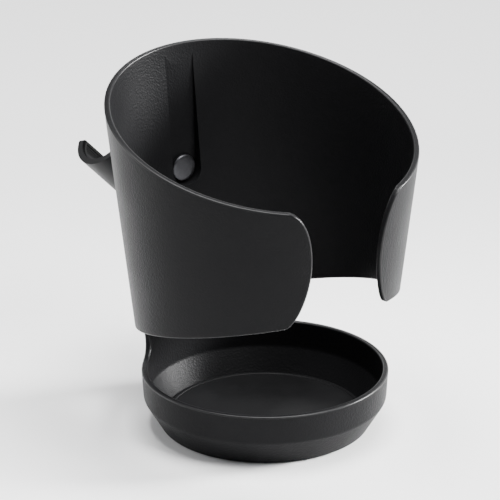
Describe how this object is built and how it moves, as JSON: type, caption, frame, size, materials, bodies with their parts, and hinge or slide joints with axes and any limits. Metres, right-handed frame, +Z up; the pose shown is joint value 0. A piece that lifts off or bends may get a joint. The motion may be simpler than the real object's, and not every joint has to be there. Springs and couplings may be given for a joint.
{
  "type": "clamp-on cup holder",
  "caption": "Tapered open-front cup holder with a saucer tray on one spine and a swivelling hooked clamp closed by a thumbscrew.",
  "frame": {"origin": "centre of the tray's flat underside", "axes": "+Z up along the holder's axis; +Y towards the clamp, so the collar's open front faces -Y; +X to the right seen from the front"},
  "size_m": [0.1072, 0.1324, 0.1243],
  "materials": {
    "moulded_pp": "fine grained satin",
    "mat_rubber": "matte",
    "black_steel": "black oxide",
    "zinc_steel": "zinc plated",
    "acetal": "natural",
    "nylon": "satin",
    "grip_rubber": "matte",
    "brass": "turned",
    "cap_grey": "satin"
  },
  "bodies": {
    "holder": {"holder_body": "moulded_pp", "tray_mat": "mat_rubber", "pivot_bolt": "black_steel", "index_disc": "acetal", "wave_washer": "zinc_steel", "flat_washer": "zinc_steel", "lock_nut": "zinc_steel", "nut_locking_ring": "acetal"},
    "clamp": {"clamp_frame": "nylon", "cradle_liner": "grip_rubber", "thread_insert": "brass"},
    "pad": {"pad_foot": "nylon", "pad_keeper": "zinc_steel", "pad_face": "grip_rubber"},
    "thumbscrew": {"clamp_screw": "zinc_steel", "screw_knob": "nylon", "spindle_nut": "zinc_steel", "knob_cap": "cap_grey"}
  },
  "joints": [
    {"name": "clamp_swivel", "type": "hinge", "parent": "holder", "child": "clamp", "pos_m": [0, 0, 0.0789], "axis": [0, 1, 0], "continuous": true},
    {"name": "pad_slide", "type": "slide", "parent": "clamp", "child": "pad", "axis": [-0.7157, 0, -0.6984], "range_m": [-0.00425, 0.0082]},
    {"name": "screw_turn", "type": "hinge", "parent": "pad", "child": "thumbscrew", "pos_m": [0, 0.07375, 0.0789], "axis": [-0.7157, 0, -0.6984], "range_deg": [-1531, 2953]}
  ],
  "couplings": [
    {"joint": "screw_turn", "follows": "pad_slide", "rad_per_m": 6283.2}
  ]
}
